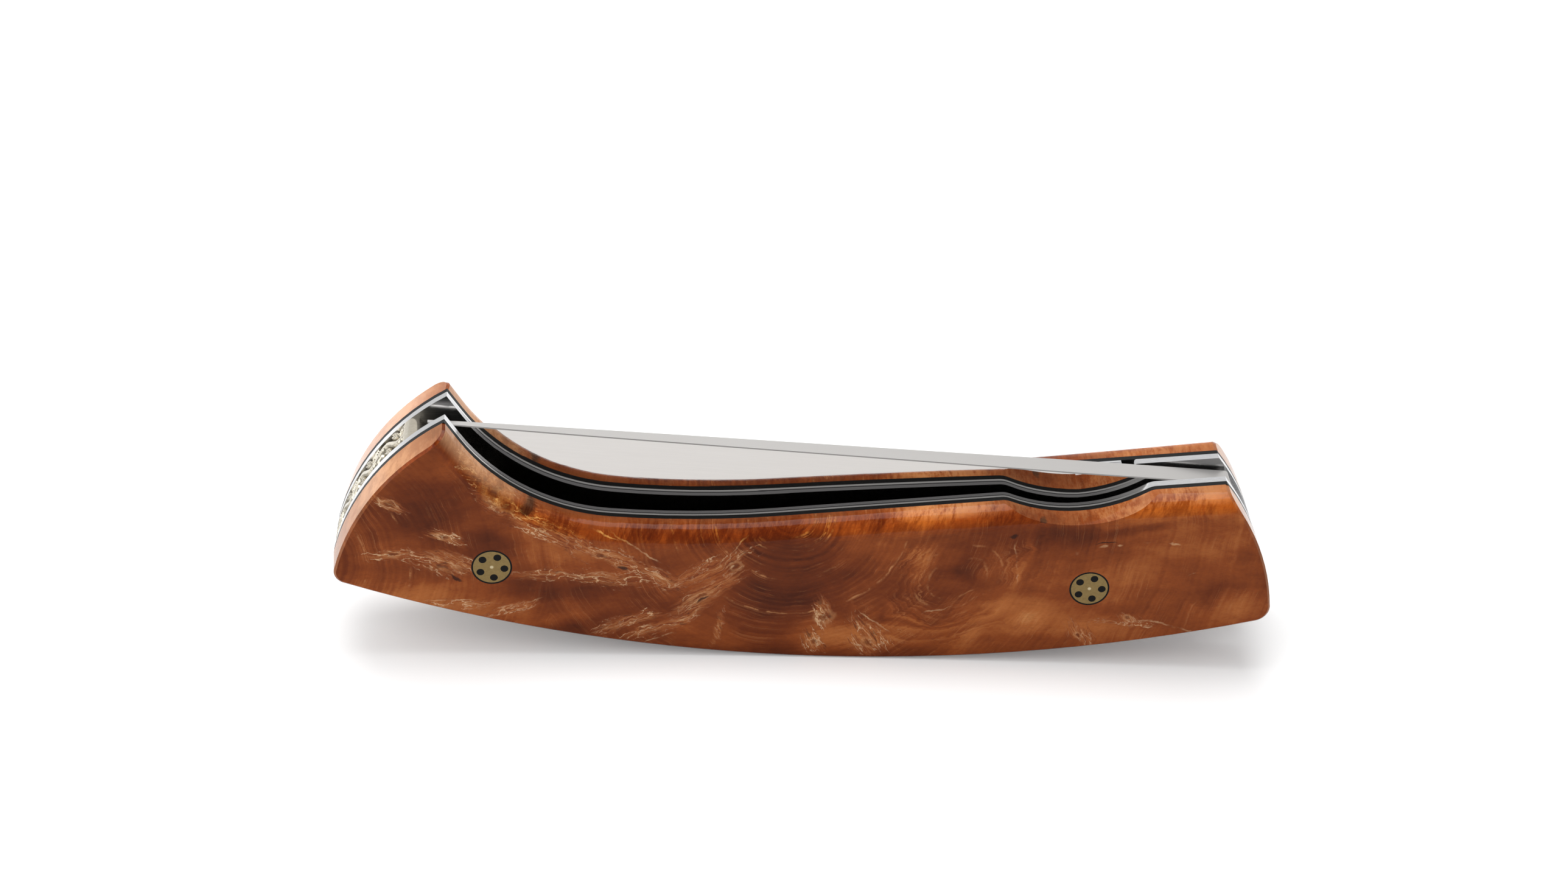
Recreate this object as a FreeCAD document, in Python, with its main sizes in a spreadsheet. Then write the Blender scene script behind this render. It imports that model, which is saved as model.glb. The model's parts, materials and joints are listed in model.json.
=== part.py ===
import FreeCAD, Part
import math
import os
import Sketcher

# Folding knife with a liner lock, closed and standing on its back: +X to the pivot end, -X to the butt,
# -Y to the front scale, +Z out of the blade slot. Origin under the middle of the handle. Millimetres.

Vector = FreeCAD.Vector
doc = FreeCAD.newDocument("folding_knife")
sheet = doc.addObject("Spreadsheet::Sheet", "sizes")


class Size:
    """A length or angle together with the sheet expression that gives it."""

    def __init__(self, value, text):
        self.value = value
        self.text = text

    def __add__(self, other):
        other = as_size(other)
        return Size(self.value + other.value, "(%s + %s)" % (self.text, other.text))

    def __sub__(self, other):
        other = as_size(other)
        return Size(self.value - other.value, "(%s - %s)" % (self.text, other.text))

    def __mul__(self, other):
        other = as_size(other)
        return Size(self.value * other.value, "(%s * %s)" % (self.text, other.text))

    def __truediv__(self, other):
        other = as_size(other)
        return Size(self.value / other.value, "(%s / %s)" % (self.text, other.text))

    def __neg__(self):
        return Size(-self.value, "(-1 * %s)" % self.text)


def as_size(number):
    return number if isinstance(number, Size) else Size(float(number), "(%s)" % float(number))


def root(size):
    return Size(math.sqrt(size.value), "sqrt(%s)" % size.text)


def sine(angle):
    return Size(math.sin(math.radians(angle.value)), "sin(%s)" % angle.text)


def cosine(angle):
    return Size(math.cos(math.radians(angle.value)), "cos(%s)" % angle.text)


def slope(angle):
    return Size(math.tan(math.radians(angle.value)), "tan(%s)" % angle.text)


row = 0


def size(name, value, note):
    global row
    row += 1
    sheet.set("A%d" % row, note)
    sheet.set("B%d" % row, str(value))
    sheet.setAlias("B%d" % row, name)
    return Size(float(value), "sizes.%s" % name)


# Handle outline, seen from the front
backRadius = size("back_radius", 188.4, "curve of the back")
backLowX = size("back_low_x", 5.1, "lowest point of the back")
buttCornerX = size("butt_corner_x", -60.9, "lower corner of the butt")
buttRadius = size("butt_radius", 32, "curve of the butt end")
buttRound = size("butt_round", 1.8, "rounding of the lower butt corner")
beakX = size("beak_x", -46.4, "tip of the butt's beak")
beakZ = size("beak_z", 33.2, "height of the beak")
beakRun = size("beak_run", 3.3, "straight flank of the beak")
beakAngle = size("beak_angle", 55.8, "slope of that flank, degrees")
waistRadius = size("waist_radius", 24.9, "tight curve below the beak")
waistAngle = size("waist_angle", 3.3, "slope where the curve eases, degrees")
throatRadius = size("throat_radius", 128.5, "wide curve of the grip")
topAngle = size("top_angle", 6.2, "rise of the top edge, degrees")
foreTopX = size("fore_top_x", 53.6, "upper corner of the fore end")
foreCornerX = size("fore_corner_x", 60.83, "lower corner of the fore end")
foreRadius = size("fore_radius", 32, "curve of the fore end")
foreRound = size("fore_round", 2.2, "rounding of the lower fore corner")
scallopX = size("scallop_x", 34.7, "middle of the thumb scallop")
scallopDepth = size("scallop_depth", 2.45, "depth of the scallop")
scallopRadius = size("scallop_radius", 19.2, "curve of the scallop")
scallopRound = size("scallop_round", 2.6, "rounding of the scallop's corners")

# Layers, from the middle plane outwards
bladeThick = size("blade_thick", 3.2, "blade at the tang")
washerThick = size("washer_thick", 0.55, "pivot washers")
washerPlay = size("washer_play", 0.025, "running gap on each side of a washer")
linerThick = size("liner_thick", 1.1, "steel liners")
fibreThick = size("fibre_thick", 0.8, "fibre spacers")
scaleThick = size("scale_thick", 2.9, "scales at their thinnest")
hollowRadius = size("hollow_radius", 1300, "lengthwise hollow of the scales' faces")
shoulderShare = size("shoulder_share", 0.9, "share of the scales rounded off along the slot")
edgeBreak = size("edge_break", 0.3, "broken outer edges of the scales")
buttDraft = size("butt_draft_angle", 5, "lean of the scales' butt faces, degrees")

# Pivot, washers and stop
pivotX = size("pivot_x", 48.3, "pivot along the handle")
pivotZ = size("pivot_z", 16.3, "pivot height")
barrelRadius = size("barrel_radius", 2.5, "pivot barrel")
barrelPlay = size("barrel_play", 0.04, "running gap round the barrel")
pivotScrewRadius = size("pivot_screw_radius", 1.3, "pivot screws and their bore")
pivotScrewLength = size("pivot_screw_length", 3, "pivot screw below its head")
pivotHeadRadius = size("pivot_head_radius", 3.5, "pivot screw head")
pivotHeadHeight = size("pivot_head_height", 1, "pivot screw head")
washerRadius = size("washer_radius", 6.3, "pivot washers")
stopRadius = size("stop_radius", 1.25, "stop pin")
stopAngle = size("stop_angle", 223.5, "stop pin round the pivot, degrees")
stopGap = size("stop_gap", 0.05, "gap between the stop pin and the tang")

# Blade, closed
tangRadius = size("tang_radius", 9.15, "round of the tang")
tangEnd = size("tang_end", 6.5, "upper end of the tang from the pivot")
tangRound = size("tang_round", 0.4, "rounding of the tang's upper corner")
spineOffset = size("spine_offset", 8.96, "spine above the pivot")
spineAngle = size("spine_angle", 3.26, "rise of the spine to the tip, degrees")
tipX = size("tip_x", -48.7, "blade tip")
edgeZ = size("edge_z", 9, "straight stretch of the cutting edge")
bellyX = size("belly_x", -2, "start of the belly")
heelDrop = size("heel_drop", 1.85, "length of the closed stop at the heel")
heelRun = size("heel_run", 0.9, "choil between that stop and the edge")
plungeRun = size("plunge_run", 12.3, "plunge line of the grind from the pivot")
plungeKnee = size("plunge_knee", 3.7, "top of the plunge line above the pivot")
plungeLead = size("plunge_lead", 0.03, "start of the grind outside the flat")
grindRun = size("grind_run", 42, "full height grind from the pivot")
grindThick = size("grind_thick", 2.55, "spine where the grind has its full height")
midThick = size("mid_thick", 1.89, "spine halfway along the belly")
tipThick = size("tip_thick", 0.7, "blade at its tip")
tipDrop = size("tip_drop", 1.5, "edge below the spine at the tip's section")
edgeThick = size("edge_thick", 0.12, "cutting edge")
spineBreak = size("spine_break", 0.12, "broken edges of the spine")
lockFace = size("lock_face", 7.2, "lock face from the pivot")
lockFaceTop = size("lock_face_top", 0.6, "near end of the lock face")
lockReliefAngle = size("lock_relief_angle", 18, "far end of the relief above the lock face")

# Lock bar and its ball
barRootX = size("bar_root_x", 8, "root of the lock bar")
barGap = size("bar_gap", 0.12, "gap at the root and at the lock face")
barWidth = size("bar_width", 6.6, "lock bar")
barSlot = size("bar_slot", 0.8, "slot under the lock bar")
notchWidth = size("notch_width", 1.5, "notch at the bar's end")
notchRound = size("notch_round", 0.6, "rounding of the liner at the notch")
reliefStart = size("relief_start", 2, "spring relief from the bar's root")
reliefLength = size("relief_length", 6, "spring relief")
reliefDepth = size("relief_depth", 0.6, "spring relief")
ballRadius = size("ball_radius", 0.6, "detent ball")
ballProud = size("ball_proud", 0.2, "ball above the bar")
ballSetback = size("ball_setback", 3, "ball from the bar's end")
ballDrop = size("ball_drop", 4, "ball below the bar's top edge")

# Backspacer and its screws
spacerWidth = size("spacer_width", 3.6, "backspacer along the back")
spacerForeX = size("spacer_fore_x", 35.5, "fore end of the backspacer")
spacerButtWidth = size("spacer_butt_width", 3.4, "backspacer along the butt")
spacerEndX = size("spacer_end_x", -50.2, "upper end of the backspacer")
spacerRound = size("spacer_round", 1.2, "rounding of that end")
blockFore = size("block_fore", 5.4, "butt block in front of the butt pin")
blockRise = size("block_rise", 5.6, "butt block above the butt pin")
vineRadius = size("vine_radius", 1.15, "round notches of the vine filework")
vineDepth = size("vine_depth", 1.1, "depth of the notches")
vinePitch = size("vine_pitch", 3, "widest step of the notches along the edge")
vineMargin = size("vine_margin", 3, "plain ends of the filework")
screwRadius = size("screw_radius", 0.8, "spacer screws")
screwPlay = size("screw_play", 0.05, "gap round the spacer screws in the liners")
screwHeadRadius = size("screw_head_radius", 1.5, "spacer screw heads")
screwHeadPlay = size("screw_head_play", 0.15, "gap round the screw heads")
screwReach = size("screw_reach", 1.4, "spacer screws into the backspacer")
screwForeX = size("screw_fore_x", 24, "fore spacer screw")
screwMidX = size("screw_mid_x", -14, "middle spacer screw")

# Mosaic pins
mosaicRadius = size("mosaic_radius", 2.38, "mosaic pins")
resinRing = size("resin_ring", 0.22, "resin round the mosaic pins")
dotRadius = size("dot_radius", 0.5, "resin dots")
dotCircle = size("dot_circle", 1.62, "circle of the resin dots")
buttPinX = size("butt_pin_x", -40.3, "butt pin")
buttPinZ = size("butt_pin_z", 13.8, "butt pin")
forePinX = size("fore_pin_x", 36.8, "fore pins")
forePinZ = size("fore_pin_z", 12.1, "fore pins")
dotCount = 5

doc.recompute()

# Layer faces
bladeFace = bladeThick / 2
linerFace = bladeFace + washerThick + washerPlay * 2
linerBack = linerFace + linerThick
fibreBack = linerBack + fibreThick
scaleFace = fibreBack + scaleThick
scaleBlank = fibreBack + scaleThick * 2
hollowCentre = scaleFace + hollowRadius
hollowX = as_size(0)


class Arc:
    """An arc to the next point; side is 1 where its centre lies left of the way, -1 where right."""

    def __init__(self, radius, side):
        self.radius = radius
        self.side = side


def number(coordinate):
    return coordinate.value if isinstance(coordinate, Size) else coordinate


def bind(sketch, kind, where, amount):
    index = sketch.addConstraint(Sketcher.Constraint(kind, *where, amount.value))
    name = "%s%d" % (kind.lower(), index)
    sketch.renameConstraint(index, name)
    sketch.setExpression("Constraints.%s" % name, amount.text)


def place_point(sketch, geometry, vertex, point):
    for kind, coordinate in zip(("DistanceX", "DistanceY"), point):
        bind(sketch, kind, (-1, 1, geometry, vertex), as_size(coordinate))


def arc_between(start, end, arc):
    chord = end - start
    left = Vector(-chord.y, chord.x, 0) / chord.Length
    rise = math.sqrt(arc.radius.value ** 2 - chord.Length ** 2 / 4)
    centre = (start + end) / 2 + left * (rise * arc.side)
    circle = Part.Circle(centre, Vector(0, 0, 1), arc.radius.value)
    first, last = (start, end) if arc.side > 0 else (end, start)
    return Part.ArcOfCircle(circle, circle.parameter(first), circle.parameter(last))


def draw(sketch, path=(), circles=()):
    """Closes the path [(x, y, arc or None)] and adds the circles [(x, y, radius)], all bound to the sheet."""
    corners = [Vector(number(x), number(y), 0) for x, y, _ in path]
    ends = []
    for start, end, (_, _, arc) in zip(corners, corners[1:] + corners[:1], path):
        if arc is None:
            ends.append((sketch.addGeometry(Part.LineSegment(start, end)), 1, 2))
            continue
        index = sketch.addGeometry(arc_between(start, end, arc))
        ends.append((index, 1, 2) if arc.side > 0 else (index, 2, 1))
        bind(sketch, "Radius", (index,), arc.radius)
    for here, after in zip(ends, ends[1:] + ends[:1]):
        sketch.addConstraint(Sketcher.Constraint("Coincident", here[0], here[2], after[0], after[1]))
    for (x, y, _), (index, first, _) in zip(path, ends):
        place_point(sketch, index, first, (x, y))
    for x, y, radius in circles:
        centre = Vector(number(x), number(y), 0)
        index = sketch.addGeometry(Part.Circle(centre, Vector(0, 0, 1), radius.value))
        place_point(sketch, index, 3, (x, y))
        bind(sketch, "Radius", (index,), radius)


def sketch_on(body, plane, offset, path=(), circles=()):
    """A sketch on one of the body's own planes, moved along the plane's normal."""
    sketch = body.newObject("Sketcher::SketchObject", body.Label + "_sketch")
    origin = [feature for feature in body.Origin.OriginFeatures if feature.Role == plane]
    sketch.AttachmentSupport = [(origin[0], "")]
    sketch.MapMode = "FlatFace"
    sketch.AttachmentOffset = FreeCAD.Placement(Vector(0, 0, offset.value), FreeCAD.Rotation())
    sketch.setExpression("AttachmentOffset.Base.z", offset.text)
    draw(sketch, path, circles)
    doc.recompute()
    return sketch


subparts = []


def new_body(label):
    body = doc.addObject("PartDesign::Body", label)
    body.Label = label
    body.AllowCompound = True
    subparts.append(body)
    return body


def pad(body, low, high, path=(), circles=()):
    """Material from Y = low to Y = high; the XZ plane's normal is -Y."""
    feature = body.newObject("PartDesign::Pad", body.Label + "_pad")
    feature.Profile = sketch_on(body, "XZ_Plane", -high, path, circles)
    feature.setExpression("Length", (high - low).text)
    doc.recompute()
    return body


def checked_cut(body, feature, before):
    doc.recompute()
    if not body.Shape.Volume < before - 1e-6:
        raise RuntimeError("%s cuts nothing" % feature.Label)
    return body


def pocket(body, top, depth, inward, path=(), circles=(), lean=None):
    """Cuts depth deep from the plane Y = top, towards +Y (inward 1) or -Y (inward -1)."""
    before = body.Shape.Volume
    sketch = sketch_on(body, "XZ_Plane", -top, path, circles)
    feature = body.newObject("PartDesign::Pocket", body.Label + "_pocket")
    feature.Profile = sketch
    feature.setExpression("Length", depth.text)
    feature.Reversed = inward < 0
    if lean is not None:
        feature.setExpression("TaperAngle", lean.text)
    return checked_cut(body, feature, before)


def hollow_face(body, side):
    """Cuts the lengthwise hollow of the scale's face on the front (side -1) or the rear (side 1)."""
    before = body.Shape.Volume
    centre = hollowCentre * side
    feature = body.newObject("PartDesign::Pocket", body.Label + "_hollow")
    feature.Profile = sketch_on(body, "XY_Plane", as_size(0), circles=[(hollowX, centre, hollowRadius)])
    feature.Type = "ThroughAll"
    feature.SideType = "Symmetric"
    return checked_cut(body, feature, before)


def edges_of(body, wanted):
    """The body's edges whose points all pass the test."""
    names = []
    for index, edge in enumerate(body.Tip.Shape.Edges, 1):
        if all(wanted(point) for point in edge.discretize(7)):
            names.append("Edge%d" % index)
    if not names:
        raise RuntimeError("no edge of %s to dress" % body.Label)
    return (body.Tip, names)


def round_edges(body, wanted, radius):
    edges = edges_of(body, wanted)
    feature = body.newObject("PartDesign::Fillet", body.Label + "_round")
    feature.Base = edges
    feature.setExpression("Radius", radius.text)
    doc.recompute()
    return body


def break_edges(body, wanted, width):
    edges = edges_of(body, wanted)
    feature = body.newObject("PartDesign::Chamfer", body.Label + "_break")
    feature.Base = edges
    feature.setExpression("Size", width.text)
    doc.recompute()
    return body


def on_line_across(x, z, within=0.02):
    """Test for the edge that runs along Y through the point (x, z)."""
    return lambda point: math.hypot(point.x - number(x), point.z - number(z)) < within


# Points of the handle outline
def back_z(x, inset=None):
    radius = backRadius if inset is None else backRadius - inset
    return backRadius - root(radius * radius - (x - backLowX) * (x - backLowX))


buttCorner = (buttCornerX, back_z(buttCornerX))
foreCorner = (foreCornerX, back_z(foreCornerX))
flankX = beakX + beakRun * cosine(beakAngle)
flankZ = beakZ - beakRun * sine(beakAngle)
waistX = flankX + waistRadius * (sine(beakAngle) - sine(waistAngle))
waistZ = flankZ + waistRadius * (cosine(beakAngle) - cosine(waistAngle))
throatX = waistX + throatRadius * (sine(waistAngle) + sine(topAngle))
throatZ = waistZ + throatRadius * (cosine(waistAngle) - cosine(topAngle))


def top_z(x):
    return throatZ + (x - throatX) * slope(topAngle)


buttChordX = beakX - buttCorner[0]
buttChordZ = beakZ - buttCorner[1]
buttChord = root(buttChordX * buttChordX + buttChordZ * buttChordZ)
buttLift = root(buttRadius * buttRadius - buttChord * buttChord / 4) / buttChord
buttCentreX = (beakX + buttCorner[0]) / 2 + buttChordZ * buttLift
buttCentreZ = (beakZ + buttCorner[1]) / 2 - buttChordX * buttLift


def butt_z(x, inset=None):
    radius = buttRadius if inset is None else buttRadius - inset
    return buttCentreZ + root(radius * radius - (x - buttCentreX) * (x - buttCentreX))


def butt_x(z):
    return buttCentreX - root(buttRadius * buttRadius - (z - buttCentreZ) * (z - buttCentreZ))


def handle_path(top_cut):
    """The handle outline from the butt corner along the back, with the given cut in its top edge."""
    return [
        (*buttCorner, Arc(backRadius, 1)),
        (*foreCorner, Arc(foreRadius, 1)),
        (foreTopX, top_z(foreTopX), None),
        *top_cut,
        (throatX, throatZ, Arc(throatRadius, -1)),
        (waistX, waistZ, Arc(waistRadius, -1)),
        (flankX, flankZ, None),
        (beakX, beakZ, Arc(buttRadius, 1)),
    ]


def on_top(run, rise):
    """A point beside the scallop's middle, that far along the top edge and above it."""
    x = scallopX + run * cosine(topAngle) - rise * sine(topAngle)
    return (x, top_z(scallopX) + run * sine(topAngle) + rise * cosine(topAngle))


scallopRise = scallopRadius - scallopDepth
scallopSpan = scallopRadius + scallopRound
scallopDrop = scallopRise + scallopRound
scallopRun = root(scallopSpan * scallopSpan - scallopDrop * scallopDrop)
scallopShare = scallopRadius / scallopSpan
scallopEase = (scallopRun * scallopShare, scallopRise - scallopDrop * scallopShare)
scallopPoints = [
    on_top(scallopRun, as_size(0)),
    on_top(*scallopEase),
    on_top(-scallopEase[0], scallopEase[1]),
    on_top(-scallopRun, as_size(0)),
]
scallopCut = [
    (*scallopPoints[0], Arc(scallopRound, 1)),
    (*scallopPoints[1], Arc(scallopRadius, -1)),
    (*scallopPoints[2], Arc(scallopRound, 1)),
    (*scallopPoints[3], None),
]

barTipX = pivotX - lockFace - barGap
notchX = barTipX + notchWidth


def bar_low(x, extra=0):
    return top_z(x) - barWidth - extra


lockCut = [
    (notchX, top_z(notchX), None),
    (notchX, bar_low(notchX, barSlot), None),
    (barRootX - barGap, bar_low(barRootX - barGap, barSlot), None),
    (barRootX - barGap, top_z(barRootX - barGap), None),
]

# Places of the pins and screws
buttPin = (buttPinX, buttPinZ)
forePin = (forePinX, forePinZ)
pivot = (pivotX, pivotZ)
stopReach = tangRadius + stopRadius + stopGap
stop = (pivotX + stopReach * cosine(stopAngle), pivotZ + stopReach * sine(stopAngle))
screws = [(x, back_z(x) + spacerWidth / 2) for x in (screwForeX, screwMidX)]


def round_corners(body):
    round_edges(body, on_line_across(*buttCorner), buttRound)
    round_edges(body, on_line_across(*foreCorner), foreRound)


# Steel liners
def liner_holes():
    holes = [(*pivot, barrelRadius), (*stop, stopRadius)]
    holes += [(*buttPin, mosaicRadius), (*forePin, mosaicRadius)]
    return holes + [(*screw, screwRadius + screwPlay) for screw in screws]


frontLiner = pad(new_body("front_liner"), -linerBack, -linerFace, handle_path(scallopCut), liner_holes())
round_corners(frontLiner)

rearLiner = pad(new_body("rear_liner"), linerFace, linerBack, handle_path(lockCut), liner_holes())
round_corners(rearLiner)
round_edges(rearLiner, on_line_across(notchX, top_z(notchX)), notchRound)

# Lock bar, a leaf of the rear liner that springs inwards, and its detent ball
ballX = barTipX - ballSetback
ballZ = top_z(ballX) - ballDrop
lockBar = pad(
    new_body("lock_bar"),
    linerFace,
    linerBack,
    [
        (barRootX, bar_low(barRootX), None),
        (barTipX, bar_low(barTipX), None),
        (barTipX, top_z(barTipX), None),
        (barRootX, top_z(barRootX), None),
    ],
    [(ballX, ballZ, ballRadius)],
)
reliefNear = barRootX + reliefStart
reliefFar = reliefNear + reliefLength
pocket(
    lockBar,
    linerBack,
    reliefDepth,
    -1,
    [
        (reliefNear, bar_low(reliefNear, 1), None),
        (reliefFar, bar_low(reliefFar, 1), None),
        (reliefFar, top_z(reliefFar) + 1, None),
        (reliefNear, top_z(reliefNear) + 1, None),
    ],
)

ball = doc.addObject("Part::Sphere", "detent_ball")
ball.Label = "detent_ball"
ball.setExpression("Radius", ballRadius.text)
ball.setExpression("Placement.Base.x", ballX.text)
ball.setExpression("Placement.Base.y", (linerFace - ballProud + ballRadius).text)
ball.setExpression("Placement.Base.z", ballZ.text)
subparts.append(ball)


# Fibre spacers
def fibre_holes():
    holes = [(*pivot, pivotHeadRadius + screwHeadPlay)]
    holes += [(*buttPin, mosaicRadius), (*forePin, mosaicRadius)]
    return holes + [(*screw, screwHeadRadius + screwHeadPlay) for screw in screws]


frontFibre = pad(new_body("front_fibre"), -fibreBack, -linerBack, handle_path(scallopCut), fibre_holes())
round_corners(frontFibre)
rearFibre = pad(new_body("rear_fibre"), linerBack, fibreBack, handle_path([]), fibre_holes())
round_corners(rearFibre)


# Burl scales: hollow along their length, round along the blade slot, leaning at the butt
def on_face(point, side):
    hollow = hollowCentre.value - math.sqrt(hollowRadius.value ** 2 - point.x ** 2)
    return abs(point.y * side - hollow) < 0.02


def on_top_shoulder(side):
    """Test for the outer edges of the scale that lie along the blade slot."""
    def wanted(point):
        inside = beakX.value - 0.01 < point.x < foreTopX.value + 0.01
        return on_face(point, side) and inside and point.z > (buttPinZ + mosaicRadius).value
    return wanted


def on_back_rim(side):
    """Test for the outer edge of the scale that lies along the back."""
    def wanted(point):
        reach = math.hypot(point.x - backLowX.value, point.z - backRadius.value)
        return on_face(point, side) and abs(reach - backRadius.value) < 0.02
    return wanted


def lean_butt(scale, side):
    """Cuts the butt face on the slant, from its full outline at the fibre inwards to the outer face."""
    spare = scaleThick
    low = (butt_x(buttCorner[1] - spare), buttCorner[1] - spare)
    high = (beakX + spare, butt_z(beakX + spare))
    outside = buttCornerX - spare * 2
    path = [(*high, Arc(buttRadius, 1)), (*low, None), (outside, low[1], None), (outside, high[1], None)]
    pocket(scale, fibreBack * side, scaleThick * 2, side, path, lean=buttDraft)


def make_scale(label, side):
    low, high = (fibreBack, scaleBlank) if side > 0 else (-scaleBlank, -fibreBack)
    holes = [(*pin, mosaicRadius + resinRing) for pin in (buttPin, forePin)]
    scale = pad(new_body(label), low, high, handle_path([]), holes)
    lean_butt(scale, side)
    round_edges(scale, on_line_across(*buttCorner, within=scaleThick.value / 2), buttRound)
    round_edges(scale, on_line_across(*foreCorner), foreRound)
    hollow_face(scale, side)
    round_edges(scale, on_top_shoulder(side), scaleThick * shoulderShare)
    break_edges(scale, on_back_rim(side), edgeBreak)
    headRecess = pivotHeadHeight - fibreThick + screwHeadPlay
    pocket(scale, fibreBack * side, headRecess, side, circles=[(*pivot, pivotHeadRadius + screwHeadPlay)])
    return scale


frontScale = make_scale("front_scale", -1)
scallopPath = [
    (*scallopPoints[3], Arc(scallopRound, -1)),
    (*scallopPoints[2], Arc(scallopRadius, 1)),
    (*scallopPoints[1], Arc(scallopRound, -1)),
    (*scallopPoints[0], None),
    (*on_top(scallopRun, scallopDepth), None),
    (*on_top(-scallopRun, scallopDepth), None),
]
pocket(frontScale, -fibreBack, scaleThick * 2, -1, scallopPath)
make_scale("rear_scale", 1)

# Blade: flat tang with its stops and lock face, then a full flat grind that thins towards the tip
stopHalf = stopRadius + stopGap
stopRun = root(tangRadius * tangRadius - stopHalf * stopHalf)
along = (cosine(stopAngle), sine(stopAngle))


def beside_stop(run):
    """A point of the tang beside the stop pin, that far from the pivot along the pin's direction."""
    x = pivotX + along[0] * run + along[1] * stopHalf
    return (x, pivotZ + along[1] * run - along[0] * stopHalf)


def spine_z(x):
    return pivotZ + spineOffset / cosine(spineAngle) - (x - pivotX) * slope(spineAngle)


tangEndX = pivotX + tangEnd
tangCorner = (tangEndX, spine_z(tangEndX))
openStop = beside_stop(-stopRun)
openStopEnd = (tangEndX, openStop[1] + (tangEndX - openStop[0]) * along[1] / along[0])
lockTrack = root(tangRadius * tangRadius - lockFace * lockFace)
tipZ = spine_z(tipX)
bellyRun = bellyX - tipX
bellyRise = tipZ - edgeZ
bellyRadius = (bellyRun * bellyRun + bellyRise * bellyRise) / (bellyRise * 2)
heel = beside_stop(stopRun + heelDrop)
bladePath = [
    (*tangCorner, None),
    (tipX, tipZ, Arc(bellyRadius, 1)),
    (bellyX, edgeZ, None),
    (heel[0] - heelRun, edgeZ, None),
    (*heel, None),
    (*beside_stop(stopRun), Arc(tangRadius, 1)),
    (pivotX + lockFace, pivotZ - lockTrack, None),
    (pivotX + lockFace, pivotZ - lockFaceTop, None),
    (
        pivotX + tangRadius * cosine(lockReliefAngle),
        pivotZ + tangRadius * sine(lockReliefAngle),
        Arc(tangRadius, 1),
    ),
    (*openStop, None),
    (*openStopEnd, None),
]
blade = pad(new_body("blade"), -bladeFace, bladeFace, bladePath, [(*pivot, barrelRadius + barrelPlay)])
round_edges(blade, on_line_across(*tangCorner), tangRound)


def belly_z(x):
    return edgeZ + bellyRadius - root(bellyRadius * bellyRadius - (x - bellyX) * (x - bellyX))


def grind_section(x, low, edgeHalf, spineHalf, side, kneeHalf=None):
    """Section at X = x of what the grind takes off one side of the blade, down to the edge at Z = low."""
    high = spine_z(x)
    knee = low + (high - low) * kneeShare
    if kneeHalf is None:
        kneeHalf = edgeHalf + (spineHalf - edgeHalf) * kneeShare
    over = (spineHalf - kneeHalf) / (high - knee) + spineHalf
    under = edgeHalf - (kneeHalf - edgeHalf) / (knee - low)
    slanted = [(over * side, high + 1, None), (kneeHalf * side, knee, None), (under * side, low - 1, None)]
    outside = bladeThick * side
    return sketch_on(blade, "YZ_Plane", x, slanted + [(outside, low - 1, None), (outside, high + 1, None)])


plungeX = pivotX - plungeRun
kneeShare = (pivotZ + plungeKnee - edgeZ) / (spine_z(plungeX) - edgeZ)
fullX = pivotX - grindRun
midX = (bellyX + tipX) / 2
flatHalf = bladeFace + plungeLead
edgeHalf = edgeThick / 2
for side in (-1, 1):
    before = blade.Shape.Volume
    sections = [
        grind_section(plungeX, edgeZ, edgeHalf, flatHalf, side, flatHalf),
        grind_section(fullX, edgeZ, edgeHalf, grindThick / 2, side),
        grind_section(midX, belly_z(midX), edgeHalf, midThick / 2, side),
        grind_section(tipX - 1, tipZ - tipDrop, edgeHalf, tipThick / 2, side),
    ]
    grind = blade.newObject("PartDesign::SubtractiveLoft", "blade_grind")
    grind.Profile = sections[0]
    grind.Sections = sections[1:]
    checked_cut(blade, grind, before)


def on_spine_edge(point):
    """Test for the blade's long edges beside the spine."""
    return abs(point.z - spine_z(as_size(point.x)).value) < 0.02 and abs(point.y) > tipThick.value / 4


break_edges(blade, on_spine_edge, spineBreak)

# Backspacer: along the back and the butt, with a block that holds the butt pin
spacerInnerEndX = spacerEndX + spacerButtWidth * (buttCentreX - spacerEndX) / buttRadius
spacerInner = buttRadius - spacerButtWidth
blockTopZ = buttPinZ + blockRise
blockLift = blockTopZ - buttCentreZ
blockTopX = buttCentreX - root(spacerInner * spacerInner - blockLift * blockLift)
blockX = buttPinX + blockFore
spacer = pad(
    new_body("backspacer"),
    -linerFace,
    linerFace,
    [
        (*buttCorner, Arc(backRadius, 1)),
        (spacerForeX, back_z(spacerForeX), None),
        (spacerForeX, back_z(spacerForeX, spacerWidth), Arc(backRadius - spacerWidth, -1)),
        (blockX, back_z(blockX, spacerWidth), None),
        (buttPinX, blockTopZ, None),
        (blockTopX, blockTopZ, Arc(spacerInner, -1)),
        (spacerInnerEndX, butt_z(spacerInnerEndX, spacerButtWidth), None),
        (spacerEndX, butt_z(spacerEndX), Arc(buttRadius, 1)),
    ],
    [(*buttPin, mosaicRadius)] + [(*screw, screwRadius) for screw in screws],
)
round_edges(spacer, on_line_across(*buttCorner), buttRound)
round_edges(spacer, on_line_across(spacerEndX, butt_z(spacerEndX)), spacerRound)


def down_angle(x, z, centreX, centreZ):
    """Direction of (x, z) from a centre, in degrees from straight down, positive towards +X."""
    return math.degrees(math.atan2(number(x) - centreX.value, centreZ.value - number(z)))


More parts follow.
